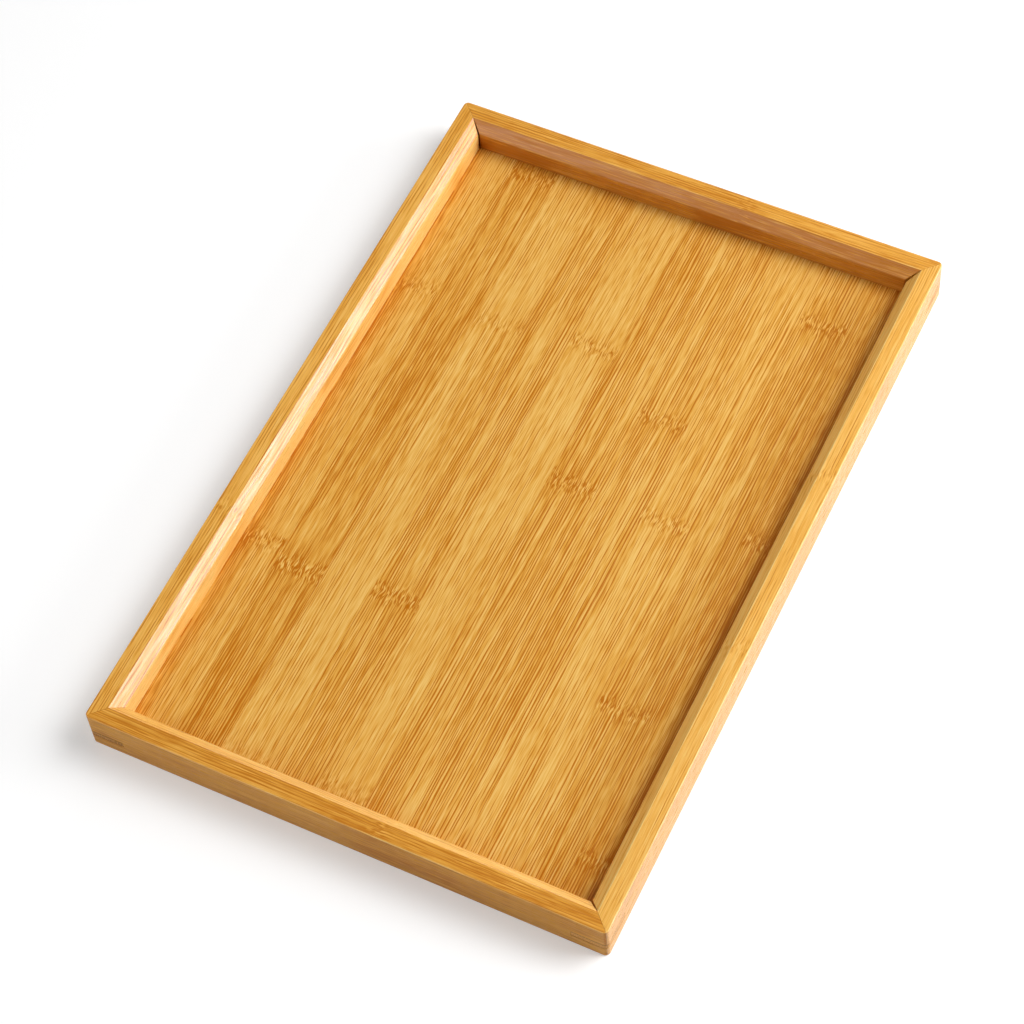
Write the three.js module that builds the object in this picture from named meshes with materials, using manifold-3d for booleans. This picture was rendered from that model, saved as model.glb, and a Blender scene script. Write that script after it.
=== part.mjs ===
// A shallow bamboo serving tray. Four mitred rails make the rim, a feather key locks each mitre,
// and a floor of strips glued edge to edge sits in a groove that runs round the inside of the rails.
// Millimetres. +X runs along the length, +Z is up, and the origin is on the table under the middle.
import * as THREE from 'three';
import { mergeVertices } from 'three/addons/utils/BufferGeometryUtils.js';
import Module from 'manifold-3d';

const wasm = await Module();
wasm.setup();

// Plan size of the tray over its rails
const TRAY_LENGTH = 330;
const TRAY_WIDTH = 220;

// Heights, from the table up: space under the floor, the floor itself, and the well above it
const FLOOR_LIFT = 3;
const FLOOR_THICKNESS = 4;
const WELL_DEPTH = 13;

// Rail section: flat land on top, then a 45 degree chamfer down to the inner wall
const RAIL_LAND = 7;
const RAIL_CHAMFER = 4.5;
const EDGE_EASE = 0.8;
const CORNER_RADIUS = 2;
const MITRE_GAP = 0.3;

// Floor: how far the groove is cut into the rails, the room left for the floor to swell, and its strips
const GROOVE_DEPTH = 3;
const SWELLING_ROOM = 0.3;
const STRIP_WIDTH = 20.6;

// Feather keys: height of their underside, thickness, wood left between their slot and the groove's
// corner, and glue room behind them
const KEY_HEIGHT = 6;
const KEY_THICKNESS = 3.2;
const KEY_BACK_WALL = 1;
const KEY_GLUE_ROOM = 0.3;

// Facets in a quarter round, and how far a cutter runs out past the wood
const ARC_STEPS = 4;
const CUTTER_OVERRUN = 1;

const FLOOR_TOP = FLOOR_LIFT + FLOOR_THICKNESS;
const TRAY_HEIGHT = FLOOR_TOP + WELL_DEPTH;
const RAIL_WIDTH = RAIL_LAND + RAIL_CHAMFER;
const GROOVE_WALL = RAIL_WIDTH - GROOVE_DEPTH;
const FLOOR_INSET = GROOVE_WALL + SWELLING_ROOM;
const KEY_LEG = 2 * GROOVE_WALL - Math.SQRT2 * (KEY_BACK_WALL + KEY_GLUE_ROOM);
const SLOT_LEG = KEY_LEG + Math.SQRT2 * KEY_GLUE_ROOM;

const QUARTER_TURN = Math.PI / 2;

const lacquered = (color, roughness) => new THREE.MeshStandardMaterial({ color, roughness, metalness: 0 });
const RAIL_BAMBOO = lacquered(0xdf9f4a, 0.38);
const KEY_BAMBOO = lacquered(0xa9774c, 0.45);
const PALE_BAMBOO = lacquered(0xe0ad58, 0.4);
const HONEY_BAMBOO = lacquered(0xd49a42, 0.4);
const AMBER_BAMBOO = lacquered(0xc78a36, 0.4);

// Tones of neighbouring strips, from the left rail to the right
const STRIP_TONES = [
  HONEY_BAMBOO, AMBER_BAMBOO, PALE_BAMBOO, AMBER_BAMBOO, PALE_BAMBOO,
  AMBER_BAMBOO, HONEY_BAMBOO, PALE_BAMBOO, HONEY_BAMBOO, AMBER_BAMBOO,
];

// A closed geometry as a solid that can be cut
function toSolid(geometry) {
  const bare = geometry.clone();
  bare.deleteAttribute('normal');
  bare.deleteAttribute('uv');
  const merged = mergeVertices(bare);
  return new wasm.Manifold(new wasm.Mesh({
    numProp: 3,
    vertProperties: merged.attributes.position.array,
    triVerts: new Uint32Array(merged.index.array),
  }));
}

// A cut solid back as a geometry with flat faces
function toGeometry(solid) {
  const { vertProperties, triVerts } = solid.getMesh();
  const indexed = new THREE.BufferGeometry();
  indexed.setAttribute('position', new THREE.BufferAttribute(vertProperties, 3));
  indexed.setIndex(new THREE.BufferAttribute(triVerts, 1));
  const geometry = indexed.toNonIndexed();
  geometry.computeVertexNormals();
  return geometry;
}

// A plan outline raised from one height to another
function raised(outline, bottom, top) {
  const depth = top - bottom;
  const geometry = new THREE.ExtrudeGeometry(outline, { depth, bevelEnabled: false, curveSegments: ARC_STEPS });
  return geometry.translate(0, 0, bottom);
}

// Cross-section of a rail: x is inward from the outer wall, y is up from the table
function railSection() {
  const ease = EDGE_EASE;
  const section = new THREE.Shape();
  section.absarc(ease, ease, ease, Math.PI, 3 * QUARTER_TURN, false);
  section.absarc(RAIL_WIDTH - ease, ease, ease, -QUARTER_TURN, 0, false);
  section.lineTo(RAIL_WIDTH, FLOOR_LIFT);
  section.lineTo(GROOVE_WALL, FLOOR_LIFT);
  section.lineTo(GROOVE_WALL, FLOOR_TOP);
  section.lineTo(RAIL_WIDTH, FLOOR_TOP);
  section.lineTo(RAIL_WIDTH, TRAY_HEIGHT - RAIL_CHAMFER);
  section.lineTo(RAIL_LAND, TRAY_HEIGHT);
  section.absarc(ease, TRAY_HEIGHT - ease, ease, QUARTER_TURN, Math.PI, false);
  return section;
}

// Plan of a rail: x is along it from its middle, y is inward. Its outer corners are rounded up to the
// mitres, which stop half a mitre gap short of the tray's corner diagonals.
function railPlan(length) {
  const half = length / 2;
  const radius = CORNER_RADIUS;
  const arcCentre = half - radius;
  const arcEnd = Math.PI / 4 + Math.asin(MITRE_GAP / (2 * radius));
  const innerEdge = RAIL_WIDTH + CUTTER_OVERRUN;
  const innerHalf = half - innerEdge - MITRE_GAP / Math.SQRT2;
  const plan = new THREE.Shape();
  plan.absarc(arcCentre, radius, radius, -QUARTER_TURN, -arcEnd, false);
  plan.lineTo(innerHalf, innerEdge);
  plan.lineTo(-innerHalf, innerEdge);
  plan.absarc(-arcCentre, radius, radius, arcEnd - Math.PI, -QUARTER_TURN, false);
  return plan;
}

// Saw cut for the key at one end of a rail, seen in plan: side is 1 or -1 along the rail
function keySlot(length, side) {
  const corner = side * length / 2;
  const out = CUTTER_OVERRUN;
  const reach = SLOT_LEG + out;
  const cut = new THREE.Shape();
  cut.moveTo(corner - side * reach, -out);
  cut.lineTo(corner + side * out, -out);
  cut.lineTo(corner + side * out, reach);
  cut.closePath();
  return raised(cut, KEY_HEIGHT, KEY_HEIGHT + KEY_THICKNESS);
}

// A rail: the section run along its length, mitred in plan and slotted at both ends for the keys
function railGeometry(length) {
  const run = new THREE.ExtrudeGeometry(railSection(), {
    depth: length, bevelEnabled: false, curveSegments: ARC_STEPS,
  });
  const inward = new THREE.Vector3(0, 1, 0);
  const up = new THREE.Vector3(0, 0, 1);
  const along = new THREE.Vector3(1, 0, 0);
  run.translate(0, 0, -length / 2);
  run.applyMatrix4(new THREE.Matrix4().makeBasis(inward, up, along));
  const mitres = raised(railPlan(length), -CUTTER_OVERRUN, TRAY_HEIGHT + CUTTER_OVERRUN);
  const slots = [1, -1].map((side) => toSolid(keySlot(length, side)));
  const rail = slots.reduce((wood, slot) => wood.subtract(slot), toSolid(run).intersect(toSolid(mitres)));
  return toGeometry(rail);
}

// A feather key: a right-angled wedge trimmed flush with both walls and rounded with the corner
function keyGeometry() {
  const wedge = new THREE.Shape();
  wedge.moveTo(KEY_LEG, 0);
  wedge.lineTo(0, KEY_LEG);
  wedge.absarc(CORNER_RADIUS, CORNER_RADIUS, CORNER_RADIUS, Math.PI, 3 * QUARTER_TURN, false);
  wedge.closePath();
  return raised(wedge, KEY_HEIGHT, KEY_HEIGHT + KEY_THICKNESS);
}

// One floor strip, centred across its width
function stripGeometry(length, width) {
  const bar = new THREE.Shape();
  bar.moveTo(-length / 2, -width / 2);
  bar.lineTo(length / 2, -width / 2);
  bar.lineTo(length / 2, width / 2);
  bar.lineTo(-length / 2, width / 2);
  bar.closePath();
  return raised(bar, FLOOR_LIFT, FLOOR_TOP);
}

function piece(name, geometry, material) {
  const mesh = new THREE.Mesh(geometry, material);
  mesh.name = name;
  return mesh;
}

// The rim goes round the tray in quarter turns, each rail facing inward from its own side
function addRails(tray) {
  const halfLength = TRAY_LENGTH / 2;
  const halfWidth = TRAY_WIDTH / 2;
  const sides = [
    ['right_rail', TRAY_LENGTH, 0, -halfWidth],
    ['back_rail', TRAY_WIDTH, halfLength, 0],
    ['left_rail', TRAY_LENGTH, 0, halfWidth],
    ['front_rail', TRAY_WIDTH, -halfLength, 0],
  ];
  sides.forEach(([name, length, x, y], turn) => {
    const rail = piece(name, railGeometry(length), RAIL_BAMBOO);
    rail.position.set(x, y, 0);
    rail.rotation.z = turn * QUARTER_TURN;
    tray.add(rail);
  });
}

// One key at each corner, its square corner on the corner of the rim
function addCornerKeys(tray) {
  const halfLength = TRAY_LENGTH / 2;
  const halfWidth = TRAY_WIDTH / 2;
  const corners = [
    ['front_right', -halfLength, -halfWidth],
    ['back_right', halfLength, -halfWidth],
    ['back_left', halfLength, halfWidth],
    ['front_left', -halfLength, halfWidth],
  ];
  corners.forEach(([corner, x, y], turn) => {
    const key = piece(`corner_key_${corner}`, keyGeometry(), KEY_BAMBOO);
    key.position.set(x, y, 0);
    key.rotation.z = turn * QUARTER_TURN;
    tray.add(key);
  });
}

// Strips are laid from the left edge of the floor, and the last is ripped to close what is left
function addFloor(tray) {
  const floorLength = TRAY_LENGTH - 2 * FLOOR_INSET;
  const floorWidth = TRAY_WIDTH - 2 * FLOOR_INSET;
  const count = Math.max(1, Math.round(floorWidth / STRIP_WIDTH));
  for (let index = 0; index < count; index += 1) {
    const laid = index * STRIP_WIDTH;
    const width = index < count - 1 ? STRIP_WIDTH : floorWidth - laid;
    const tone = STRIP_TONES[index % STRIP_TONES.length];
    const strip = piece(`panel_strip_${String(index + 1).padStart(2, '0')}`, stripGeometry(floorLength, width), tone);
    strip.position.y = floorWidth / 2 - laid - width / 2;
    tray.add(strip);
  }
}

const tray = new THREE.Group();
addRails(tray);
addCornerKeys(tray);
addFloor(tray);

export default tray;
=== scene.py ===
"""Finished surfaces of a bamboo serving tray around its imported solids, and its white studio.

The tray is four mitred rails, a feather key across each mitre and a floor of glued strips. Every
piece carries its own grain as attributes, in millimetres along, across and up, so that one bamboo
figure serves them all.
"""
import math

import bmesh
import bpy
import numpy as np
from bpy.props import FloatProperty, FloatVectorProperty, PointerProperty
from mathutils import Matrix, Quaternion, Vector


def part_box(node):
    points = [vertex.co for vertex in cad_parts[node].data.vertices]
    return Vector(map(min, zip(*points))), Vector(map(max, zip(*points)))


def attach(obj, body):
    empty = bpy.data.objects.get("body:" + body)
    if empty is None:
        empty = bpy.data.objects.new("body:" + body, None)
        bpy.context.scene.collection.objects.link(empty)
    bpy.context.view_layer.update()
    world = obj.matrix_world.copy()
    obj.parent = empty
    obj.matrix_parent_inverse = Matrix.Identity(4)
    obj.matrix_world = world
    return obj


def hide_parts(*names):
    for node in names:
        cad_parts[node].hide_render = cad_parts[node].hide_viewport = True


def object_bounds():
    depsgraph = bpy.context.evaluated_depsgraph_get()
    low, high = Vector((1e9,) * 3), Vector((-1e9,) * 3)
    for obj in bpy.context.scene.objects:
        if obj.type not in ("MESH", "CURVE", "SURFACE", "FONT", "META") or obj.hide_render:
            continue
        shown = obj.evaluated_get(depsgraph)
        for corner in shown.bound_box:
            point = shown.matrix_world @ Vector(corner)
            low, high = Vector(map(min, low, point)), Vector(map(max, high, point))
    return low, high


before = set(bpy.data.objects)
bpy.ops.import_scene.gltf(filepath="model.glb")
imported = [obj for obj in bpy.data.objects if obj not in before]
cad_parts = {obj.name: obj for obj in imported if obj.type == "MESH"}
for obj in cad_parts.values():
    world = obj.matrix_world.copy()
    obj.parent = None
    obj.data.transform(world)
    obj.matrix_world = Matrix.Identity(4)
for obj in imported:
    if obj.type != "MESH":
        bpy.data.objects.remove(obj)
cad_low, cad_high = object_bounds()

bl_info = {
    "name": "Bamboo serving tray",
    "version": (1, 0, 0),
    "blender": (4, 5, 0),
    "location": "View3D > Sidebar > Tray",
    "description": "Builds the finished surfaces of a bamboo serving tray around its packed solids",
    "category": "Object",
}

MM = 0.001
BODY = "root"

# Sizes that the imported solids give
TRAY_LENGTH = cad_high.x - cad_low.x
TRAY_WIDTH = cad_high.y - cad_low.y
TRAY_HEIGHT = cad_high.z - cad_low.z
rail_low, rail_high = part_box("right_rail")
RAIL_WIDTH = rail_high.y - rail_low.y
strip_low, strip_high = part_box("panel_strip_01")
FLOOR_BOTTOM = strip_low.z
FLOOR_TOP = strip_high.z
key_low, key_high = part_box("corner_key_front_right")
KEY_BOTTOM = key_low.z
KEY_TOP = key_high.z
KEY_LEG = key_high.x - key_low.x

# Facets in a rounded edge, in the eighth turn from a wall to its mitre and in a key's bevel, and
# the inner corners of a rail's two key slots
EDGE_STEPS = 5
CORNER_STEPS = 5
KEY_BEVEL_STEPS = 2
SLOT_CORNERS = 4

# Slack when points are told apart by face, the distance at which doubles are welded, and the
# angle up to which faces shade as one
SPECK = 0.005 * MM
WELD_DISTANCE = 0.002 * MM
SMOOTH_ANGLE = math.radians(32)

# Place of a knuckle that a piece doesn't have, the same with no mark, and the distance to a rail of
# a piece that lies beside none
NO_KNUCKLE = 9999.0
BARE = (NO_KNUCKLE, 0.0)
FAR = 9999.0

# What the bamboo reads on a piece of wood, where nothing else is said of it
PLAIN_WOOD = {
    "tone": 0.0,
    "line_strength": 0.2,
    "seed": 0.0,
    "knuckle_one": NO_KNUCKLE,
    "knuckle_two": NO_KNUCKLE,
    "mark_one": 1.0,
    "mark_two": 1.0,
    "side": 0.0,
    "to_rail": FAR,
    "polish": 1.0,
    "rim": 0.0,
}

# Rails in quarter turns round the tray: node, lightness of its outer wall, outer edge, land, brow,
# chamfer and inner wall, polish of its outer wall and chamfer, strength of its lines, seed of its
# grain, and where its knuckles lie along it, in millimetres. Each face's lightness is partly the
# rail's own tone and partly painted light and shade for how that face is lit: painted highlights
# along the right and front outer edges, the right brow and the front chamfer, a paler left inner
# wall, and painted shade on the back chamfer, the back inner wall and the front wall.
RAILS = (
    ("right_rail", (-0.02, 1.0, 0.26, 0.95, 0.44, 0.20), (1.0, 0.2), 0.4, 3.0,
     (49.0, -36.0)),
    ("back_rail", (-0.26, -0.16, -0.16, 0.20, -0.60, -0.41), (0.3, 0.8), 0.6, 11.0,
     (-24.0, NO_KNUCKLE)),
    ("left_rail", (0.03, 0.08, 0.13, -0.20, 0.0, 0.70), (1.0, 1.75), 0.55, 23.0,
     (-59.0, NO_KNUCKLE)),
    ("front_rail", (-0.24, 0.45, -0.27, -0.27, 0.38, -0.18), (0.15, 1.9), 0.6, 37.0,
     (-15.0, NO_KNUCKLE)),
)

# How strongly a knuckle marks a rail, the share of a rail's lines that shows on its outer wall,
# and the polish of its other faces
RAIL_MARK = 0.55
WALL_LINES = 0.3
RAIL_POLISH = 1.0

# Corners in the same order: node of the key, its way out from the tray's middle, how far the mitre
# has opened at its inner end, in millimetres, and the lightness of the key
CORNERS = (
    ("corner_key_front_right", (-1, -1), 1.40, 0.12),
    ("corner_key_back_right", (1, -1), 1.90, 0.0),
    ("corner_key_back_left", (1, 1), 1.10, 0.0),
    ("corner_key_front_left", (-1, 1), 0.10, -0.25),
)

# Polish of a key's end in the long walls and in the short ones, and the first seed of the keys
KEY_POLISH_LONG = 1.0
KEY_POLISH_SHORT = 0.15
KEY_SEED = 50.0

# Floor strips from the left rail to the right: lightness of their left and right edges, strength of
# their lines, and where their knuckles lie along the tray, with how strongly each is marked
STRIPS = (
    ((0.04, 0.08), 0.5, ((-61.0, 1.0), (76.0, 0.55))),
    ((-0.15, -0.13), 0.75, ((-67.0, 1.15), (148.0, 0.8))),
    ((0.15, 0.08), 0.5, ((72.0, 0.45), (-150.0, 0.4))),
    ((0.0, 0.06), 1.0, ((-63.0, 1.1), BARE)),
    ((0.10, 0.11), 0.45, ((77.0, 0.75), (-147.0, 0.5))),
    ((-0.05, 0.08), 1.2, ((12.0, 1.0), BARE)),
    ((0.08, 0.04), 1.05, ((55.0, 0.8), BARE)),
    ((0.12, 0.10), 0.6, ((11.0, 0.8), BARE)),
    ((0.03, -0.03), 0.85, ((-73.0, 0.8), (124.0, 0.8))),
    # Darker towards the right rail: partly the strip's own tone, partly painted shade of that rail
    ((-0.10, -0.21), 0.85, ((-135.0, 0.7), (17.0, 0.8))),
)

# Polish of the strips, the seed that they count from, and the step from one strip to the next
STRIP_POLISH = 0.6
STRIP_SEED = 60.0
STRIP_SEED_STEP = 7

# Finishes: contrast of the figure, roughness of the lacquer and depth of its relief
RAIL_FINISH = {"contrast": 0.95, "roughness": 0.28, "relief_depth": 0.03 * MM}
KEY_FINISH = {"contrast": 0.7, "roughness": 0.42, "relief_depth": 0.03 * MM}
STRIP_FINISH = {"contrast": 1.0, "roughness": 0.36, "relief_depth": 0.03 * MM}

# Fibres of the bamboo: length and width of each kind, in millimetres
SHORT_FIBRES = (6.0, 0.42)
LONG_FIBRES = (28.0, 0.40)
CLUSTERS = (26.0, 0.8)
BANDS = (70.0, 4.5)
MOTTLES = (16.0, 2.5)
SEAM_FIBRES = (9.0, 3.0)
SHEEN_FIBRES = (18.0, 0.8)

# How far fibres sway, in millimetres, everywhere and at a knuckle, and the waves of each in a
# millimetre along and across the grain
WANDER = 0.6
WANDER_WAVES = (0.025, 0.1)
TANGLE = 1.3
TANGLE_WAVES = (0.2, 0.3)

# A knuckle: sway of its line and its waves across, raggedness of its fringe and its waves, and the
# shift in the fibres from one side to the other
KNUCKLE_SWAY = 6.0
KNUCKLE_WAVES = 0.2
FRINGE = 9.0
FRINGE_WAVES = (0.1, 2.1)
SIDE_SHIFT = 3.7

# From where to where a knuckle's dashes, stain and tangle fade, and the lines that it breaks come
# back, in millimetres, with the share of the lines that it takes
KNUCKLE_REACH = (1.0, 7.0)
STAIN_REACH = (0.0, 16.0)
TANGLE_REACH = (0.0, 8.0)
BREAK_REACH = (1.0, 12.0)
BREAK_SHARE = -0.6

# Dark dashes and pale flecks at a knuckle: waves along and across, levels of the noise between
# which each comes up, and the shift that keeps the flecks off the dashes
DASH_WAVES = (0.3, 1.6, 1.0)
DASH_LEVELS = (-0.04, 0.12)
FLECK_LEVELS = (0.0, 0.15)
FLECK_SHIFT = (31.0, 17.0, 5.0)

# Darker lines: spacing in millimetres, how narrow they are, how their spacing drifts, and the
# levels of clusters and bands between which they come up
LINE_SPACING = 1.12
LINE_SHARPNESS = 3.8
LINE_DRIFT = 2.1
DRIFT_WAVES = (0.012, 0.22)
LINE_LEVELS = (-0.3, 0.25)
LINE_BAND_SHARE = -0.5

# Glue: where it darkens a strip's side and a key's rim, as shares of half its width or height, how
# far from a rail the floor is darkened by painted shade, where glue fills the seam by a rail, in
# millimetres, and the levels of its noise
GLUE_SIDE = (0.82, 1.0)
GLUE_LEVELS = (-0.1, 0.2)
GLUE_RIM = (0.68, 0.9)
PAINTED_SHADE_REACH = (0.0, 6.5)
RAIL_SEAM = (0.0, 0.7)
SEAM_LEVELS = (-0.12, 0.1)

# Share of each part of the figure in the lightness of the wood and in the relief of its lacquer,
# and the lightness that they start from
BASE_LIGHT = 0.62
LIGHT_SHARES = {
    "short": 0.8,
    "long": 1.0,
    "lines": -1.6,
    "band": 0.28,
    "mottle": 0.12,
    "dashes": -0.65,
    "flecks": 0.45,
    "stain": -0.13,
    "glued": -0.16,
    # Painted shade of the floor beside the rails
    "painted_rail_shade": -0.3,
    "seam": -0.8,
    "rimmed": -1.3,
}
RELIEF_SHARES = {
    "short": 0.5,
    "lines": -0.6,
    "dashes": -0.5,
}

# Levels of the sheen's noise and its range, middle and span of the lightness, places of the two
# middle colours in it, and the clear lacquer
SHEEN_LEVELS = (-0.22, 0.22)
SHEEN_RANGE = (0.65, 1.3)
MIDDLE_LIGHT = 0.5
LIGHT_SPAN = 1.5
GOLDEN_STOP = 1 / 3
PALE_STOP = 2 / 3
GLOSS_BY_RELIEF = -0.12
LACQUER_IOR = 1.5
LACQUER_SPECULAR = 0.45

# Studio bowl, in metres: its flat, the sweep round it and the top of its upright, with the facets
# of each, how far it lies under the tray, and from where to where its glow rises and its matt white
# fades
BOWL_FLAT = 2.2
BOWL_SWEEP = 1.0
BOWL_HEIGHT = 2.4
BOWL_STEPS = 12
BOWL_FACETS = 96
FLOOR_DROP = 0.1 * MM
GLOW_RISE = (0.45, 1.3)
MATT_FADE = (1.3, 2.2)

# Softboxes round the tray: azimuth from +X towards +Y and elevation in degrees, width and height
# in metres, and power in watts
SOFTBOX_DISTANCE = 1.6
LIGHTS = (
    ("key_light", 300, 48, (1.2, 0.9), 12.7),
    ("low_light", 296, 20, (0.9, 0.4), 11.9),
    ("high_light", 308, 54, (1.2, 0.9), 13.5),
    ("back_light", 15, 12, (0.8, 0.5), 3.0),
    ("fill_light", 142, 33, (1.2, 0.9), 10.2),
)


def srgb(red, green, blue):
    """Linear colour of an 8-bit display colour."""
    shown = np.array((red, green, blue)) / 255
    linear = np.where(shown <= 0.04045, shown / 12.92, ((shown + 0.055) / 1.055) ** 2.4)
    return tuple(float(channel) for channel in linear)


def length_property(name, description, millimetres):
    return FloatProperty(name=name, description=description, default=millimetres * MM, unit="LENGTH")


def colour_property(name, description, colour):
    return FloatVectorProperty(name=name, description=description, default=colour, size=3,
                               subtype="COLOR", min=0.0, max=1.0)


class RailSettings(bpy.types.PropertyGroup):
    """Shape and colour of the four rails."""

    land: length_property("Land", "Width of the flat on top of a rail", 6.85)
    drop: length_property("Chamfer drop", "Fall of the chamfer from the land to the inner wall", 4.2)
    groove_depth: length_property("Groove depth", "How far the floor's groove is cut in", 3.0)
    ease: length_property("Eased edge", "Radius of the rounded outer edges", 0.4)
    brow: length_property("Brow", "Radius between the land and the chamfer", 0.7)
    cheek: length_property("Cheek", "Radius between the chamfer and the inner wall", 1.8)
    lip: length_property("Lip", "Radius on the edges of the groove", 0.12)
    corner_radius: length_property("Corner radius", "Radius of the tray's upright corners", 2.0)
    hairline: length_property("Mitre hairline", "Gap that shows along a tight mitre", 0.10)
    # The rails reach this cream mostly on faces whose lightness carries painted light
    cream: colour_property("Cream wood", "Colour of the palest faces", srgb(238, 204, 126))
    pale: colour_property("Pale wood", "Colour between the fibres", srgb(240, 185, 95))
    golden: colour_property("Golden wood", "Middle colour of the rails", srgb(223, 159, 64))
    amber: colour_property("Amber fibres", "Colour of the darkest fibres", srgb(190, 117, 30))


class KeySettings(bpy.types.PropertyGroup):
    """Fit and colour of the feather keys in the corners."""

    gap_below: length_property("Gap below", "Glue gap under a key", 0.18)
    gap_above: length_property("Gap above", "Glue gap over a key", 0.15)
    sunk: length_property("Sunk", "How far a key lies behind the walls", 0.02)
    edge: length_property("Edge", "Radius of a key's edges", 0.04)
    cream: colour_property("Cream wood", "Colour of the palest fibres", srgb(234, 178, 106))
    pale: colour_property("Pale wood", "Colour between the fibres", srgb(226, 168, 94))
    golden: colour_property("Brown wood", "Middle colour of the keys", srgb(210, 149, 74))
    amber: colour_property("Dark fibres", "Colour of the darkest fibres", srgb(118, 70, 26))


class StripSettings(bpy.types.PropertyGroup):
    """Shape and colour of the floor strips."""

    edge: length_property("Edge", "Radius of a strip's long edges", 0.05)
    cream: colour_property("Cream wood", "Colour of the palest fibres", srgb(236, 196, 114))
    pale: colour_property("Pale wood", "Colour between the fibres", srgb(234, 189, 105))
    golden: colour_property("Golden wood", "Middle colour of the floor", srgb(219, 159, 65))
    amber: colour_property("Amber fibres", "Colour of the darkest fibres", srgb(184, 106, 10))


class StageSettings(bpy.types.PropertyGroup):
    """Floor, lights and camera."""

    lens: FloatProperty(name="Lens", description="Focal length on a 36 mm sensor", default=105.48,
                        unit="CAMERA")
    floor_colour: colour_property("Floor", "Colour of the studio floor", (0.75, 0.75, 0.75))
    floor_glow: FloatProperty(name="Floor glow", description="Light added to the floor beside the tray",
                              default=0.32)
    light_level: FloatProperty(name="Light level", description="Share of full power for every light",
                               default=1.0)
    sky: FloatProperty(name="Sky", description="Strength of the even light from all round", default=0.0)


def rounded_outline(corners, radii, steps):
    """Closed outline with an arc at every corner.

    At a corner the unit vectors a and b point to its neighbours, and the half angle between them is
    h. The arc's centre lies r / sin h along their bisector, and it touches both sides r / tan h
    away. Its points turn evenly from one touching point to the other.
    """
    before = np.roll(corners, 1, axis=0) - corners
    after = np.roll(corners, -1, axis=0) - corners
    before /= np.linalg.norm(before, axis=1, keepdims=True)
    after /= np.linalg.norm(after, axis=1, keepdims=True)
    half = np.arccos(np.clip((before * after).sum(axis=1), -1, 1)) / 2
    bisector = before + after
    bisector /= np.linalg.norm(bisector, axis=1, keepdims=True)
    centre = corners + bisector * (radii / np.sin(half))[:, None]
    touch = (radii / np.tan(half))[:, None]
    first = (corners + before * touch - centre)[:, None]
    last = (corners + after * touch - centre)[:, None]
    sweep = (math.pi - 2 * half)[:, None, None]
    share = np.linspace(0, 1, steps + 1)[None, :, None]
    arcs = (np.sin((1 - share) * sweep) * first + np.sin(share * sweep) * last) / np.sin(sweep)
    return (centre[:, None] + arcs).reshape(-1, 2)


def quarter_turned(points, turns):
    """Points turned about +Z by whole quarter turns, with no rounding."""
    cosine = (1, 0, -1, 0)[turns % 4]
    sine = (0, 1, 0, -1)[turns % 4]
    x, y, z = points.T
    return np.column_stack((x * cosine - y * sine, x * sine + y * cosine, z))


def rail_section(rail):
    """Outline of a rail's section as depth from the outer wall and height: eased outer edges, the
    floor's groove, the inner wall, the chamfer and the land. Its last two points are the edges of
    the key's slot in the wall."""
    groove = RAIL_WIDTH - rail.groove_depth
    shape = (
        ((0, 0), rail.ease),
        ((RAIL_WIDTH, 0), rail.ease),
        ((RAIL_WIDTH, FLOOR_BOTTOM), rail.lip),
        ((groove, FLOOR_BOTTOM), rail.lip),
        ((groove, FLOOR_TOP), rail.lip),
        ((RAIL_WIDTH, FLOOR_TOP), rail.lip),
        ((RAIL_WIDTH, TRAY_HEIGHT - rail.drop), rail.cheek),
        ((rail.land, TRAY_HEIGHT), rail.brow),
        ((0, TRAY_HEIGHT), rail.ease),
    )
    corners = np.array([corner for corner, _ in shape])
    radii = np.array([radius for _, radius in shape])
    slot = np.array(((0, KEY_TOP), (0, KEY_BOTTOM)))
    return np.vstack((rounded_outline(corners, radii, EDGE_STEPS), slot))


def mitre_gap(section, rail, opening):
    """How far each outline point stops short of the mitre: a hairline all round, and an opening
    that grows from the top of the chamfer to the inner wall, above the floor."""
    depth, height = section.T
    inward = np.clip((depth - rail.land) / (RAIL_WIDTH - rail.land), 0, 1)
    return rail.hairline / 2 + opening / 2 * np.sqrt(inward) * (height > FLOOR_TOP)


def rail_end(section, rail, length, opening):
    """Places along and inward of the outline points at the stations of one rail end, from the key
    slot's far end to the mitre. A point at depth d rounds the tray's corner on an arc of radius
    r - d, which is the offset of the outer corner's arc of radius r, and stops at the eighth turn.
    Deeper than r, it runs straight to the mitre."""
    depth = section[:, 0]
    radius = np.maximum(rail.corner_radius - depth, 0)
    gap = mitre_gap(section, rail, opening)
    straight = length / 2 - np.maximum(rail.corner_radius, depth) - gap
    turn = np.linspace(0, math.pi / 4, CORNER_STEPS + 1)[:, None]
    along = straight + radius * np.sin(turn)
    inward = np.where(radius > 0, rail.corner_radius - radius * np.cos(turn), depth)
    slot_start = np.full_like(depth, length / 2 - KEY_LEG)
    return np.vstack((slot_start, along)), np.vstack((depth, inward))


def rail_points(section, rail, length, openings):
    """Grid of a rail by station and outline point, then the inner corners of its two key slots."""
    start_along, start_inward = rail_end(section, rail, length, openings[0])
    end_along, end_inward = rail_end(section, rail, length, openings[1])
    along = np.vstack((-start_along[::-1], end_along))
    inward = np.vstack((start_inward[::-1], end_inward))
    height = np.broadcast_to(section[:, 1], along.shape)
    grid = np.stack((along, inward, height), axis=-1).reshape(-1, 3)
    depth = (KEY_LEG - rail.hairline / 2) / 2
    reach = length / 2 - depth - rail.hairline / 2
    levels = (KEY_BOTTOM, KEY_TOP)
    slots = np.array([(side * reach, depth, level) for side in (-1, 1) for level in levels])
    return np.vstack((grid, slots))


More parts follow.
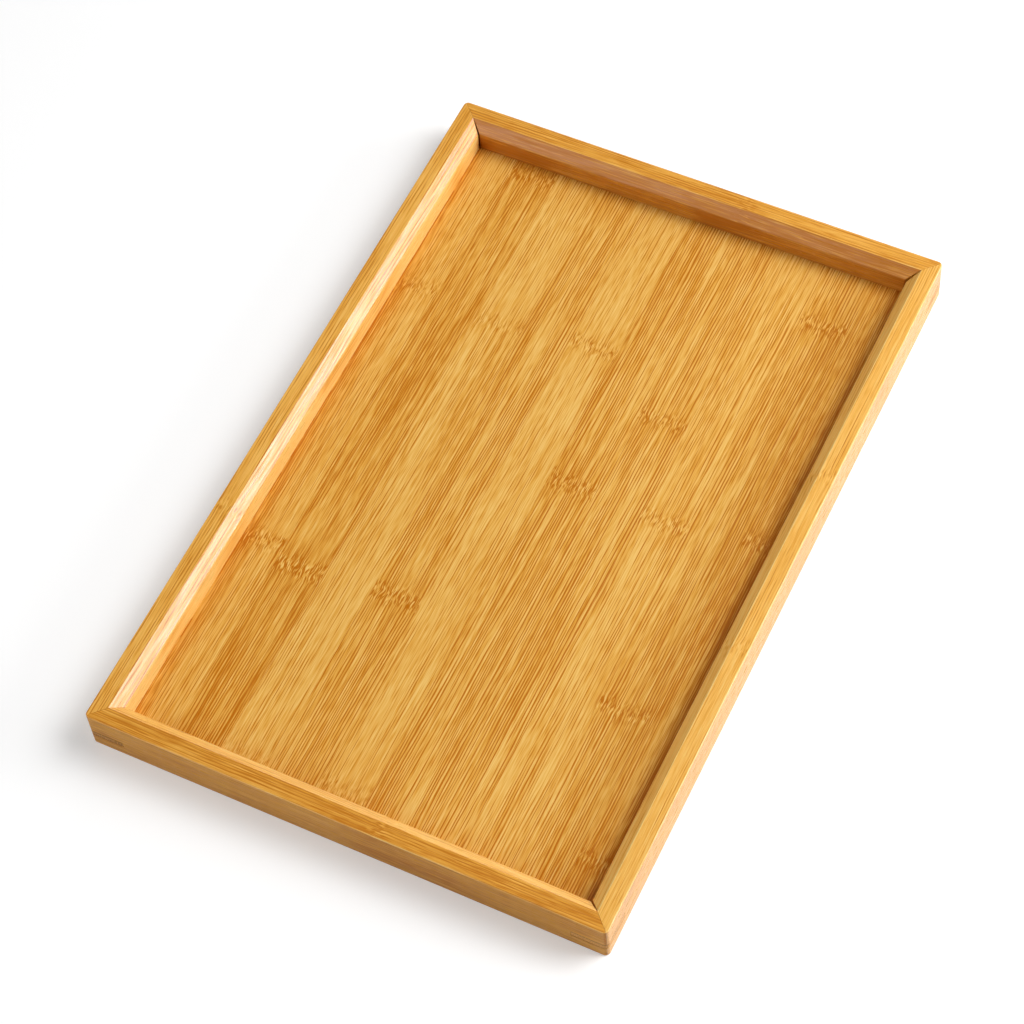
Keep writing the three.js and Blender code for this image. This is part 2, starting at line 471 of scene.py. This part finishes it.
def rail_faces(stations, ring):
    """Quads of the grid without the cells of the key slots, then the slots' inner faces and the
    mitred ends."""
    station, point = np.meshgrid(np.arange(stations - 1), np.arange(ring), indexing="ij")
    following = (point + 1) % ring
    quads = np.stack((station * ring + point, station * ring + following,
                      (station + 1) * ring + following, (station + 1) * ring + point), axis=-1)
    end_cells = CORNER_STEPS + 1
    top, bottom = ring - 2, ring - 1
    at_end = (station < end_cells) | (station >= stations - 1 - end_cells)
    faces = quads[~(at_end & (point == top))].tolist()
    inner = stations * ring
    runs = (np.arange(end_cells, -1, -1) * ring,
            np.arange(stations - 1 - end_cells, stations) * ring)
    for side, run in enumerate(runs):
        inner_bottom, inner_top = inner + 2 * side, inner + 2 * side + 1
        made = [
            [*(run + bottom), inner_bottom],
            [*(run + top), inner_top][::-1],
            [run[0] + bottom, inner_bottom, inner_top, run[0] + top],
            [*(run[-1] + np.arange(ring - 1)), inner_top, inner_bottom, run[-1] + bottom],
        ]
        faces += [face if side else face[::-1] for face in made]
    return [[int(index) for index in face] for face in faces]


def rail_faces_of(inward, height, rail):
    """Whether each point lies on the outer wall, inside the arc of its upper edge, on the land,
    inside the arc of the brow and on the chamfer."""
    slope = math.atan2(rail.drop, RAIL_WIDTH - rail.land)
    brow_start = rail.land - rail.brow * math.tan(slope / 2)
    brow_end = TRAY_HEIGHT - rail.brow * (1 - math.cos(slope))
    on_brow = (inward > brow_start + SPECK) & (height > brow_end + SPECK)
    on_land = (height > TRAY_HEIGHT - SPECK) & (inward < brow_start + SPECK)
    outside = inward < rail.corner_radius
    on_wall = outside & (height < TRAY_HEIGHT - rail.ease + SPECK)
    on_edge = outside & ~on_wall & ~on_land
    on_chamfer = (height > TRAY_HEIGHT - rail.drop) & ~outside & ~on_land & ~on_brow
    return on_wall, on_edge, on_land, on_brow, on_chamfer


def bar_points(outline, start, end):
    """A closed outline across the tray, carried straight along +X."""
    across, height = outline.T
    ends = [np.column_stack((np.full_like(across, x), across, height)) for x in (start, end)]
    return np.vstack(ends)


def slab_points(outline, bottom, top):
    """A closed outline in plan, carried straight up."""
    x, y = outline.T
    ends = [np.column_stack((x, y, np.full_like(x, z))) for z in (bottom, top)]
    return np.vstack(ends)


def tube_faces(ring):
    """Walls between two copies of an outline, and the two ends."""
    point = np.arange(ring)
    following = (point + 1) % ring
    walls = np.column_stack((point, following, ring + following, ring + point)).tolist()
    return [*walls, point[::-1].tolist(), (ring + point).tolist()]


def new_piece(name, points, faces, material):
    """A welded mesh object at the origin, with its place in its points and smooth rounded edges."""
    mesh = bpy.data.meshes.new(name)
    mesh.from_pydata(points.tolist(), [], faces)
    shell = bmesh.new()
    shell.from_mesh(mesh)
    bmesh.ops.remove_doubles(shell, verts=shell.verts, dist=WELD_DISTANCE)
    shell.to_mesh(mesh)
    shell.free()
    mesh.polygons.foreach_set("use_smooth", np.ones(len(mesh.polygons), dtype=bool))
    mesh.set_sharp_from_angle(angle=SMOOTH_ANGLE)
    mesh.materials.append(material)
    piece = bpy.data.objects.new(name, mesh)
    bpy.context.scene.collection.objects.link(piece)
    return piece


def face_weighted(piece):
    """Keeps the wide flats flat in the light beside their rounded edges."""
    weighting = piece.modifiers.new("face_weight", "WEIGHTED_NORMAL")
    weighting.keep_sharp = True


def stand_for(piece, node):
    """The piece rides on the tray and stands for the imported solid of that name."""
    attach(piece, BODY)
    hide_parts(node)


def points_of(mesh):
    points = np.empty(len(mesh.vertices) * 3)
    mesh.vertices.foreach_get("co", points)
    return points.reshape(-1, 3)


def set_grain(piece, grain, **wood):
    """Attributes that the bamboo reads: place along, across and up the grain in millimetres, and
    what is said of this piece of wood, each one number or one for each point. Its side runs from -1
    on one glued edge to 1 on the other, its rim likewise from a key's underside to its top, and the
    distance to the rail is in millimetres."""
    mesh = piece.data
    place = mesh.attributes.new("grain", "FLOAT_VECTOR", "POINT")
    place.data.foreach_set("vector", (grain / MM).astype(np.float32).ravel())
    for name, value in {**PLAIN_WOOD, **wood}.items():
        mark = mesh.attributes.new(name, "FLOAT", "POINT")
        spread = np.broadcast_to(np.asarray(value, dtype=np.float32), len(mesh.vertices))
        mark.data.foreach_set("value", np.ascontiguousarray(spread))


def feed(tree, socket, value):
    """Links a socket to another, or sets its value."""
    if isinstance(value, bpy.types.NodeSocket):
        tree.links.new(value, socket)
    else:
        socket.default_value = value


def add_node(tree, kind, inputs=None, **choices):
    """A shader node with its choices made and its inputs fed by name or number."""
    node = tree.nodes.new(kind)
    for name, value in choices.items():
        setattr(node, name, value)
    for name, value in (inputs or {}).items():
        feed(tree, node.inputs[name], value)
    return node


def calc(tree, operation, first, second=0.0, third=0.0):
    """One sum of numbers."""
    inputs = {0: first, 1: second, 2: third}
    return add_node(tree, "ShaderNodeMath", inputs, operation=operation).outputs[0]


def vector_calc(tree, operation, first, second):
    inputs = {0: first, 1: second}
    return add_node(tree, "ShaderNodeVectorMath", inputs, operation=operation).outputs[0]


def ramped(tree, value, low, high, out_low=0.0, out_high=1.0):
    """A smooth step of a value from one level to another."""
    inputs = {"Value": value, "From Min": low, "From Max": high, "To Min": out_low, "To Max": out_high}
    step = add_node(tree, "ShaderNodeMapRange", inputs, interpolation_type="SMOOTHSTEP")
    return step.outputs["Result"]


def noise(tree, place):
    """Soft noise about zero, from -0.5 to 0.5."""
    inputs = {"Vector": place, "Scale": 1.0, "Detail": 0.0}
    made = add_node(tree, "ShaderNodeTexNoise", inputs, noise_dimensions="3D")
    return calc(tree, "SUBTRACT", made.outputs[0], 0.5)


def attribute(tree, name, output="Fac"):
    return add_node(tree, "ShaderNodeAttribute", attribute_name=name).outputs[output]


def combine(tree, x, y, z):
    return add_node(tree, "ShaderNodeCombineXYZ", {0: x, 1: y, 2: z}).outputs[0]


def wavy(tree, along, across, layer, waves):
    """Soft noise with its own waves in a millimetre along and across the grain."""
    along_waves = calc(tree, "MULTIPLY", along, waves[0])
    across_waves = calc(tree, "MULTIPLY", across, waves[1])
    return noise(tree, combine(tree, along_waves, across_waves, layer))


def knuckle_distance(tree, along, across, seed, attribute_name):
    """Signed distance along the grain to a knuckle, whose line sways across the strip."""
    across_waves = calc(tree, "MULTIPLY", across, KNUCKLE_WAVES)
    sway = noise(tree, combine(tree, across_waves, seed, 0.0))
    place = calc(tree, "SUBTRACT", along, attribute(tree, attribute_name))
    return calc(tree, "MULTIPLY_ADD", sway, KNUCKLE_SWAY, place)


def shared(tree, parts, shares, start):
    """A start, with a share of each part added to it in turn."""
    total = start
    for name, share in shares.items():
        total = calc(tree, "MULTIPLY_ADD", parts[name], share, total)
    return total


def bamboo_figure():
    """Node group of the bamboo's figure.

    Fibres are noise stretched along the grain, over evenly spaced darker lines that come and go. At
    a knuckle the fibres of the two sides don't meet: they end in a fringe of short dark and pale
    dashes, on a soft stain. Glue darkens the sides of the strips and the rims of the keys, and fills
    the seam by a rail. Painted shade darkens the floor beside the rails.
    """
    tree = bpy.data.node_groups.new("bamboo_figure", "ShaderNodeTree")
    for name in ("Light", "Relief", "Sheen"):
        tree.interface.new_socket(name, in_out="OUTPUT", socket_type="NodeSocketFloat")
    grain = add_node(tree, "ShaderNodeSeparateXYZ", {0: attribute(tree, "grain", "Vector")})
    along, across, up = grain.outputs
    seed = attribute(tree, "seed")
    parts = {}

    first = knuckle_distance(tree, along, across, seed, "knuckle_one")
    second = knuckle_distance(tree, along, across, seed, "knuckle_two")
    marked = ((first, attribute(tree, "mark_one")), (second, attribute(tree, "mark_two")))

    def round_knuckles(core, reach):
        marks = []
        for away, mark in marked:
            near = ramped(tree, calc(tree, "ABSOLUTE", away), core, reach, 1.0, 0.0)
            marks.append(calc(tree, "MULTIPLY", near, mark))
        return calc(tree, "MAXIMUM", *marks)

    knuckle = round_knuckles(*KNUCKLE_REACH)
    parts["stain"] = round_knuckles(*STAIN_REACH)
    ragged = calc(tree, "MULTIPLY", wavy(tree, along, across, seed, FRINGE_WAVES), FRINGE)
    past_first = calc(tree, "GREATER_THAN", first, ragged)
    past_second = calc(tree, "GREATER_THAN", second, ragged)
    layer = calc(tree, "MULTIPLY_ADD", calc(tree, "ADD", past_first, past_second), SIDE_SHIFT, seed)

    wander = wavy(tree, along, across, seed, WANDER_WAVES)
    tangle = wavy(tree, along, across, seed, TANGLE_WAVES)
    tangle = calc(tree, "MULTIPLY", tangle, round_knuckles(*TANGLE_REACH))
    bent = calc(tree, "MULTIPLY_ADD", wander, WANDER, across)
    bent = calc(tree, "MULTIPLY_ADD", tangle, TANGLE, bent)

    def fibres(length, width):
        scale = (1 / length, 1 / width, 1 / width)
        scaled = vector_calc(tree, "MULTIPLY", combine(tree, along, bent, up), scale)
        return noise(tree, vector_calc(tree, "ADD", scaled, combine(tree, seed, layer, layer)))

    parts["short"] = fibres(*SHORT_FIBRES)
    parts["long"] = fibres(*LONG_FIBRES)
    parts["mottle"] = fibres(*MOTTLES)
    band = fibres(*BANDS)
    parts["band"] = band

    drift = wavy(tree, along, across, layer, DRIFT_WAVES)
    drifted = calc(tree, "MULTIPLY_ADD", drift, LINE_DRIFT, layer)
    phase = calc(tree, "MULTIPLY_ADD", bent, 1 / LINE_SPACING, drifted)
    wave = calc(tree, "SINE", calc(tree, "MULTIPLY", phase, 2 * math.pi))
    ridge = calc(tree, "POWER", calc(tree, "MULTIPLY_ADD", wave, 0.5, 0.5), LINE_SHARPNESS)
    gathered = calc(tree, "MULTIPLY_ADD", band, LINE_BAND_SHARE, fibres(*CLUSTERS))
    lines = calc(tree, "MULTIPLY", ridge, ramped(tree, gathered, *LINE_LEVELS))
    lines = calc(tree, "MULTIPLY", lines, attribute(tree, "line_strength"))
    unbroken = calc(tree, "MULTIPLY_ADD", round_knuckles(*BREAK_REACH), BREAK_SHARE, 1.0)
    parts["lines"] = calc(tree, "MULTIPLY", lines, unbroken)

    dash_place = vector_calc(tree, "MULTIPLY", combine(tree, along, bent, seed), DASH_WAVES)
    dashes = ramped(tree, noise(tree, dash_place), *DASH_LEVELS)
    parts["dashes"] = calc(tree, "MULTIPLY", knuckle, dashes)
    fleck_place = vector_calc(tree, "ADD", dash_place, FLECK_SHIFT)
    flecks = ramped(tree, noise(tree, fleck_place), *FLECK_LEVELS)
    parts["flecks"] = calc(tree, "MULTIPLY", knuckle, flecks)

    glued = ramped(tree, calc(tree, "ABSOLUTE", attribute(tree, "side")), *GLUE_SIDE)
    parts["glued"] = calc(tree, "MULTIPLY", glued, ramped(tree, band, *GLUE_LEVELS))
    to_rail = attribute(tree, "to_rail")
    # Painted shade on the floor beside the rails, fading out from the rail's foot
    parts["painted_rail_shade"] = ramped(tree, to_rail, *PAINTED_SHADE_REACH, 1.0, 0.0)
    seam = ramped(tree, to_rail, *RAIL_SEAM, 1.0, 0.0)
    parts["seam"] = calc(tree, "MULTIPLY", seam, ramped(tree, fibres(*SEAM_FIBRES), *SEAM_LEVELS))
    parts["rimmed"] = ramped(tree, calc(tree, "ABSOLUTE", attribute(tree, "rim")), *GLUE_RIM)

    light = calc(tree, "ADD", shared(tree, parts, LIGHT_SHARES, attribute(tree, "tone")), BASE_LIGHT)
    out = add_node(tree, "NodeGroupOutput")
    feed(tree, out.inputs["Light"], light)
    feed(tree, out.inputs["Relief"], shared(tree, parts, RELIEF_SHARES, 0.0))
    feed(tree, out.inputs["Sheen"], ramped(tree, fibres(*SHEEN_FIBRES), *SHEEN_LEVELS, *SHEEN_RANGE))
    return tree


def bamboo(name, wood, contrast, roughness, relief_depth):
    """Lacquered bamboo: the figure picks a colour between amber fibres and pale wood, and the clear
    coat follows the fibres with a slight relief."""
    material = bpy.data.materials.new(name)
    material.use_nodes = True
    tree = material.node_tree
    tree.nodes.clear()
    figure = add_node(tree, "ShaderNodeGroup", node_tree=bpy.data.node_groups["bamboo_figure"])
    from_middle = calc(tree, "SUBTRACT", figure.outputs["Light"], MIDDLE_LIGHT)
    spread = calc(tree, "MULTIPLY_ADD", from_middle, contrast, MIDDLE_LIGHT)
    colours = add_node(tree, "ShaderNodeValToRGB", {"Fac": calc(tree, "DIVIDE", spread, LIGHT_SPAN)})
    stops = colours.color_ramp.elements
    stops[0].position = 0.0
    stops[0].color = (*wood.amber, 1.0)
    stops[1].position = 1.0
    stops[1].color = (*wood.cream, 1.0)
    stops.new(GOLDEN_STOP).color = (*wood.golden, 1.0)
    stops.new(PALE_STOP).color = (*wood.pale, 1.0)
    relief = figure.outputs["Relief"]
    coat = {"Height": relief, "Strength": 1.0, "Distance": relief_depth}
    bump = add_node(tree, "ShaderNodeBump", coat)
    sheen = calc(tree, "MULTIPLY", attribute(tree, "polish"), figure.outputs["Sheen"])
    shader = add_node(tree, "ShaderNodeBsdfPrincipled", {
        "Base Color": colours.outputs["Color"],
        "Roughness": calc(tree, "MULTIPLY_ADD", relief, GLOSS_BY_RELIEF, roughness),
        "Normal": bump.outputs["Normal"],
        "IOR": LACQUER_IOR,
        "Specular IOR Level": calc(tree, "MULTIPLY", sheen, LACQUER_SPECULAR),
    })
    out = add_node(tree, "ShaderNodeOutputMaterial")
    feed(tree, out.inputs["Surface"], shader.outputs["BSDF"])
    return material


def studio_floor(stage):
    """Matt white floor that keeps the tray's shadow. Away from the tray the matt white fades out,
    so that the backdrop throws no light, and the glow, for the camera, gloss and glass, rises to
    plain white."""
    material = bpy.data.materials.new("studio_floor")
    material.use_nodes = True
    tree = material.node_tree
    tree.nodes.clear()
    path = add_node(tree, "ShaderNodeLightPath").outputs
    seen = calc(tree, "MAXIMUM", path["Is Camera Ray"], path["Is Glossy Ray"])
    seen = calc(tree, "MAXIMUM", seen, path["Is Transmission Ray"])
    place = add_node(tree, "ShaderNodeTexCoord").outputs["Object"]
    away = add_node(tree, "ShaderNodeVectorMath", {0: place}, operation="LENGTH").outputs["Value"]
    glow = calc(tree, "MULTIPLY", seen, ramped(tree, away, *GLOW_RISE, stage.floor_glow, 1.0))
    kept = ramped(tree, away, *MATT_FADE, 1.0, 0.0)
    tint = {0: tuple(stage.floor_colour), "Scale": kept}
    colour = add_node(tree, "ShaderNodeVectorMath", tint, operation="SCALE")
    matt = add_node(tree, "ShaderNodeBsdfDiffuse", {"Color": colour.outputs[0]})
    light = add_node(tree, "ShaderNodeEmission", {"Strength": glow})
    both = add_node(tree, "ShaderNodeAddShader", {0: matt.outputs[0], 1: light.outputs[0]})
    out = add_node(tree, "ShaderNodeOutputMaterial")
    feed(tree, out.inputs["Surface"], both.outputs[0])
    return material


def even_sky(stage):
    """The same light from all round, above the backdrop."""
    world = bpy.data.worlds.new("studio")
    world.use_nodes = True
    world.node_tree.nodes["Background"].inputs["Strength"].default_value = stage.sky
    return world


def bowl_points():
    """Studio floor and backdrop in one: a profile of radius and height, turned about +Z. It runs
    flat from the middle, sweeps up through a quarter round of radius r as f + r sin t and
    r - r cos t, and ends in an upright."""
    sweep = np.linspace(0, math.pi / 2, BOWL_STEPS + 1)
    rim = BOWL_FLAT + BOWL_SWEEP
    radius = np.concatenate(((0, BOWL_FLAT / 2), BOWL_FLAT + BOWL_SWEEP * np.sin(sweep), (rim,)))
    height = np.concatenate(((0, 0), BOWL_SWEEP * (1 - np.cos(sweep)), (BOWL_HEIGHT,)))
    turn = np.linspace(0, 2 * math.pi, BOWL_FACETS, endpoint=False)
    x = np.outer(radius, np.cos(turn))
    y = np.outer(radius, np.sin(turn))
    z = np.broadcast_to(height[:, None], x.shape) - FLOOR_DROP
    return np.stack((x, y, z), axis=-1).reshape(-1, 3)


def bowl_faces(rings):
    """Quads between the rings of the bowl, facing its middle."""
    ring, facet = np.meshgrid(np.arange(rings - 1), np.arange(BOWL_FACETS), indexing="ij")
    following = (facet + 1) % BOWL_FACETS
    inner, outer = ring * BOWL_FACETS, (ring + 1) * BOWL_FACETS
    quads = np.stack((inner + facet, outer + facet, outer + following, inner + following), axis=-1)
    return quads.reshape(-1, 4).tolist()


def softbox(name, azimuth, elevation, size, power):
    """A rectangular light aimed at the tray. Azimuth turns from +X towards +Y, and both angles are
    in degrees."""
    lamp = bpy.data.lights.new(name, "AREA")
    lamp.shape = "RECTANGLE"
    lamp.size, lamp.size_y = size
    lamp.energy = power
    light = bpy.data.objects.new(name, lamp)
    turn, rise = math.radians(azimuth), math.radians(elevation)
    level = math.cos(rise)
    towards = Vector((math.cos(turn) * level, math.sin(turn) * level, math.sin(rise)))
    light.location = towards * SOFTBOX_DISTANCE
    light.rotation_euler = towards.to_track_quat("Z", "Y").to_euler()
    light.visible_camera = False
    bpy.context.scene.collection.objects.link(light)


class TRAY_OT_rails(bpy.types.Operator):
    """Builds the four finished rails"""

    bl_idname = "tray.rails"
    bl_label = "Finished rails"

    def execute(self, context):
        rail = context.scene.tray_rails
        material = bamboo("rail_bamboo", rail, **RAIL_FINISH)
        section = rail_section(rail)
        ring = len(section)
        for turn, (node, tones, polish, lines, seed, knuckles) in enumerate(RAILS):
            lengthwise = turn % 2 == 0
            length = TRAY_LENGTH if lengthwise else TRAY_WIDTH
            offset = (TRAY_WIDTH if lengthwise else TRAY_LENGTH) / 2
            corners = (CORNERS[turn], CORNERS[(turn + 1) % len(CORNERS)])
            points = rail_points(section, rail, length, [corner[2] * MM for corner in corners])
            faces = rail_faces((len(points) - SLOT_CORNERS) // ring, ring)
            placed = quarter_turned(points - np.array((0, offset, 0)), turn)
            piece = new_piece(f"finished_{node}", placed, faces, material)
            face_weighted(piece)
            x, y, z = points_of(piece.data).T
            along, inward = (x, offset - abs(y)) if lengthwise else (y, offset - abs(x))
            on_wall, on_edge, on_land, on_brow, on_chamfer = rail_faces_of(inward, z, rail)
            toned = (on_wall, on_edge, on_land, on_brow, on_chamfer)
            upper = on_land | on_brow | on_chamfer
            # Each face takes its lightness from the table: partly tone, partly painted light and shade
            set_grain(
                piece, np.column_stack((along, inward, z)), seed=seed,
                tone=np.select(toned, tones[:-1], tones[-1]),
                polish=np.select((on_wall, on_chamfer), polish, RAIL_POLISH),
                line_strength=np.where(on_wall, lines * WALL_LINES, lines),
                knuckle_one=np.where(upper, knuckles[0], NO_KNUCKLE), mark_one=RAIL_MARK,
                knuckle_two=np.where(upper, knuckles[1], NO_KNUCKLE), mark_two=RAIL_MARK,
            )
            stand_for(piece, node)
        return {"FINISHED"}


class TRAY_OT_corner_keys(bpy.types.Operator):
    """Builds the feather keys that lock the mitres"""

    bl_idname = "tray.corner_keys"
    bl_label = "Corner keys"

    def execute(self, context):
        key = context.scene.tray_keys
        material = bamboo("key_bamboo", key, **KEY_FINISH)
        tip = key.edge * 2
        leg = KEY_LEG - key.sunk * 4
        corners = np.array(((0, 0), (leg, 0), (0, leg)))
        radii = np.array((context.scene.tray_rails.corner_radius, tip, tip))
        wedge = rounded_outline(corners, radii, EDGE_STEPS) + key.sunk
        points = slab_points(wedge, KEY_BOTTOM + key.gap_below, KEY_TOP - key.gap_above)
        tray_corner = np.array((TRAY_LENGTH / 2, TRAY_WIDTH / 2, 0))
        for turn, (node, way, _, tone) in enumerate(CORNERS):
            placed = quarter_turned(points, turn) + tray_corner * np.array((*way, 0))
            piece = new_piece(f"finished_{node}", placed, tube_faces(len(wedge)), material)
            edge = piece.modifiers.new("edge", "BEVEL")
            edge.width = key.edge
            edge.segments = KEY_BEVEL_STEPS
            edge.limit_method = "ANGLE"
            x, y, z = points_of(piece.data).T
            in_long_wall = abs(y) > TRAY_WIDTH / 2 - key.edge - key.sunk
            set_grain(
                piece, np.column_stack((x * way[0] - y * way[1], x + y, z)),
                seed=KEY_SEED + turn, tone=tone,
                rim=(2 * z - KEY_TOP - KEY_BOTTOM) / (KEY_TOP - KEY_BOTTOM),
                polish=np.where(in_long_wall, KEY_POLISH_LONG, KEY_POLISH_SHORT),
            )
            stand_for(piece, node)
        return {"FINISHED"}


class TRAY_OT_floor_strips(bpy.types.Operator):
    """Builds the strips of the tray's floor"""

    bl_idname = "tray.floor_strips"
    bl_label = "Floor strips"

    def execute(self, context):
        strip = context.scene.tray_strips
        material = bamboo("floor_bamboo", strip, **STRIP_FINISH)
        for number, (tones, lines, (one, two)) in enumerate(STRIPS, start=1):
            node = f"panel_strip_{number:02d}"
            low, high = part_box(node)
            corners = np.array(((low.y, low.z), (high.y, low.z), (high.y, high.z), (low.y, high.z)))
            outline = rounded_outline(corners, np.full(len(corners), strip.edge), EDGE_STEPS)
            points = bar_points(outline, low.x, high.x)
            piece = new_piece(f"finished_{node}", points, tube_faces(len(outline)), material)
            face_weighted(piece)
            place = points_of(piece.data)
            share = (high.y - place[:, 1]) / (high.y - low.y)
            to_rail = TRAY_WIDTH / 2 - RAIL_WIDTH - abs(place[:, 1])
            set_grain(
                piece, place, seed=STRIP_SEED + STRIP_SEED_STEP * number,
                tone=np.interp(share, (0, 1), tones), line_strength=lines, polish=STRIP_POLISH,
                knuckle_one=one[0], mark_one=one[1], knuckle_two=two[0], mark_two=two[1],
                side=2 * share - 1, to_rail=to_rail / MM,
            )
            stand_for(piece, node)
        return {"FINISHED"}


class TRAY_OT_stage(bpy.types.Operator):
    """Sets up the floor, the soft lights and the camera"""

    bl_idname = "tray.stage"
    bl_label = "White studio"

    CAMERA_EYE = Vector((-0.5607, -0.3261, 1.0185))
    CAMERA_AIM = Vector((-0.0052, 0.0067, 0.0))
    CAMERA_ROLL = math.radians(-6.04)
    SENSOR = 36.0

    def execute(self, context):
        stage = context.scene.tray_stage
        points = bowl_points()
        faces = bowl_faces(len(points) // BOWL_FACETS)
        new_piece("studio_floor", points, faces, studio_floor(stage))
        for name, azimuth, elevation, size, power in LIGHTS:
            softbox(name, azimuth, elevation, size, power * stage.light_level)
        context.scene.world = even_sky(stage)
        context.scene.view_settings.view_transform = "Standard"
        lens = bpy.data.cameras.new("camera")
        lens.lens = stage.lens
        lens.sensor_width = self.SENSOR
        camera = bpy.data.objects.new("camera", lens)
        camera.location = self.CAMERA_EYE
        camera.rotation_mode = "QUATERNION"
        level = (self.CAMERA_AIM - self.CAMERA_EYE).to_track_quat("-Z", "Y")
        camera.rotation_quaternion = level @ Quaternion((0, 0, 1), self.CAMERA_ROLL)
        context.scene.collection.objects.link(camera)
        context.scene.camera = camera
        return {"FINISHED"}


OPERATORS = (TRAY_OT_rails, TRAY_OT_corner_keys, TRAY_OT_floor_strips, TRAY_OT_stage)
GROUPS = {
    "tray_rails": RailSettings,
    "tray_keys": KeySettings,
    "tray_strips": StripSettings,
    "tray_stage": StageSettings,
}


class TRAY_PT_pieces(bpy.types.Panel):
    """Lists the tray's pieces in the sidebar"""

    bl_idname = "TRAY_PT_pieces"
    bl_label = "Serving tray"
    bl_space_type = "VIEW_3D"
    bl_region_type = "UI"
    bl_category = "Tray"

    def draw(self, context):
        for operator in OPERATORS:
            self.layout.operator(operator.bl_idname)
        for group in GROUPS:
            settings = getattr(context.scene, group)
            box = self.layout.box()
            for name in settings.__annotations__:
                box.prop(settings, name)


CLASSES = (*GROUPS.values(), *OPERATORS, TRAY_PT_pieces)


def register():
    for item in CLASSES:
        bpy.utils.register_class(item)
    for name, group in GROUPS.items():
        setattr(bpy.types.Scene, name, PointerProperty(type=group))


def unregister():
    for name in GROUPS:
        delattr(bpy.types.Scene, name)
    for item in reversed(CLASSES):
        bpy.utils.unregister_class(item)


def main():
    register()
    bamboo_figure()
    bpy.ops.tray.rails()
    bpy.ops.tray.corner_keys()
    bpy.ops.tray.floor_strips()
    bpy.ops.tray.stage()


if __name__ == "__main__":
    main()
